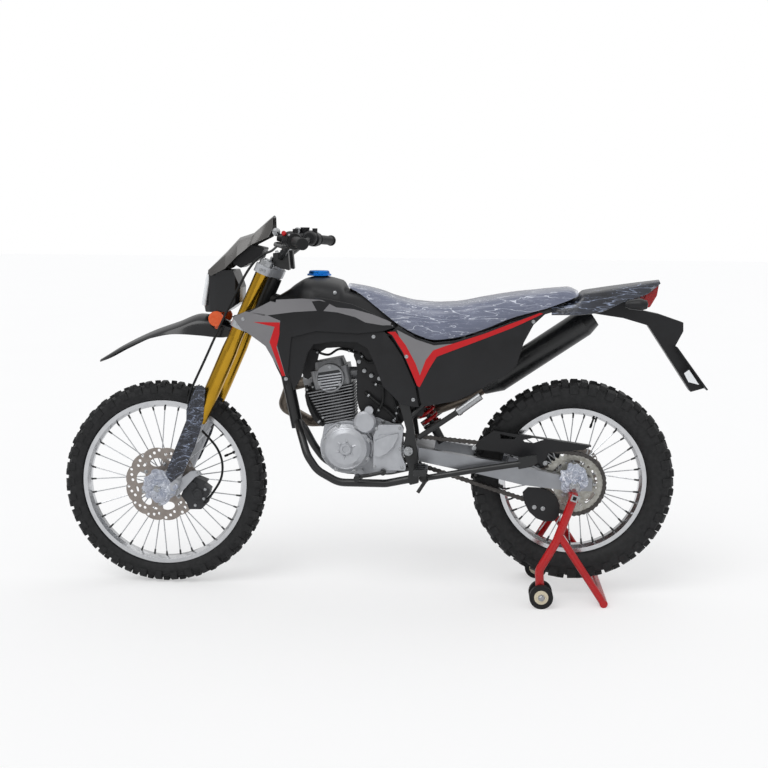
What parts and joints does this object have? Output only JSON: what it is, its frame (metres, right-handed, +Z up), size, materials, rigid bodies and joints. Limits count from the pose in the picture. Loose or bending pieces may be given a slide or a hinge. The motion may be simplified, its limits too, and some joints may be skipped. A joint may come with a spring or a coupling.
{
  "type": "dual sport motorcycle on a paddock stand",
  "caption": "Upright off-road style motorcycle with spoked wheels, high fender, finned single-cylinder engine and long seat, held level on a tubular rear paddock stand.",
  "frame": {"origin": "on the floor under the middle of the overall box, midway between the front tyre's leading edge and the number plate bracket's tail end", "axes": "+X towards the tail, +Y towards the rider's right, +Z up; the steering points straight ahead along -X"},
  "size_m": [2.14, 0.7788, 1.246],
  "materials": {
    "black_frame": "satin black powder coat",
    "cast_silver": "silver painted castings",
    "black_plastic": "moulded black plastic",
    "grey_plastic": "moulded grey plastic with red stripes",
    "gold_anodised": "gold anodised",
    "steel": "plated steel",
    "black_steel": "black paint",
    "tyre": "knobbly tread",
    "rubber": "moulded rubber",
    "rim_alloy": "polished",
    "vinyl": "vinyl cover under clear film",
    "blue_anodised": "blue anodised",
    "red_lens": "moulded lens",
    "orange_lens": "moulded reflector",
    "red_paint": "gloss red paint"
  },
  "bodies": {
    "chassis": {"main_frame": "black_frame", "crankcase": "cast_silver", "generator_cover": "cast_silver", "sprocket_cover": "cast_silver", "starter_motor": "cast_silver", "cylinder": "cast_silver", "cylinder_head": "cast_silver", "intake": "rubber", "exhaust_header": "steel", "silencer": "black_steel", "fuel_tank": "black_plastic", "fuel_cap": "blue_anodised", "seat": "vinyl", "shroud_wings": "grey_plastic", "lower_shrouds": "black_plastic", "side_covers": "grey_plastic", "tail_cowl": "black_plastic", "tail_light": "red_lens", "plate_bracket": "black_plastic", "rear_indicators": "black_plastic", "swingarm": "cast_silver", "swingarm_pivot": "steel", "rear_axle": "steel", "rear_shock": "black_steel", "chain": "steel", "chain_guards": "black_plastic", "rear_caliper": "black_steel", "footpegs": "steel", "pillion_pegs": "steel", "foot_levers": "black_steel", "paddock_stand": "red_paint"},
    "steering": {"fork_tubes": "gold_anodised", "fork_sliders": "steel", "fork_guards": "black_plastic", "triple_clamps": "cast_silver", "handlebar": "black_steel", "grips": "rubber", "switchgear": "black_plastic", "hand_levers": "black_steel", "headlight": "black_plastic", "headlight_mask": "grey_plastic", "instruments": "black_plastic", "front_fender": "black_plastic", "front_reflectors": "orange_lens", "front_caliper": "black_steel", "front_brake_hose": "rubber", "front_axle": "steel"},
    "front_wheel": {"front_tyre": "tyre", "front_rim": "rim_alloy", "front_hub": "rim_alloy", "front_disc": "steel"},
    "rear_wheel": {"rear_tyre": "tyre", "rear_rim": "rim_alloy", "rear_hub": "rim_alloy", "rear_disc": "steel", "rear_sprocket": "steel"},
    "side_stand": {"side_stand": "black_steel"},
    "stand_rollers_left": {"stand_rollers_left": "rubber"},
    "stand_rollers_right": {"stand_rollers_right": "rubber"}
  },
  "joints": [
    {"name": "steering", "type": "hinge", "parent": "chassis", "child": "steering", "pos_m": [-0.4643, 0, 0.7859], "axis": [0.3987, 0, 0.9171], "range_deg": [-40, 40]},
    {"name": "front_wheel_spin", "type": "hinge", "parent": "steering", "child": "front_wheel", "pos_m": [-0.724, 0, 0.346], "axis": [0, 1, 0], "continuous": true},
    {"name": "rear_wheel_spin", "type": "hinge", "parent": "chassis", "child": "rear_wheel", "pos_m": [0.646, 0, 0.384], "axis": [0, 1, 0], "continuous": true},
    {"name": "side_stand_swing", "type": "hinge", "parent": "chassis", "child": "side_stand", "pos_m": [0.16, -0.134, 0.404], "axis": [-0.2371, 0.9326, -0.2722], "range_deg": [0, 98]},
    {"name": "left_roller_spin", "type": "hinge", "parent": "chassis", "child": "stand_rollers_left", "pos_m": [0.543, -0.177, 0.038], "axis": [0, 1, 0], "continuous": true},
    {"name": "right_roller_spin", "type": "hinge", "parent": "chassis", "child": "stand_rollers_right", "pos_m": [0.543, 0.177, 0.038], "axis": [0, 1, 0], "continuous": true}
  ]
}
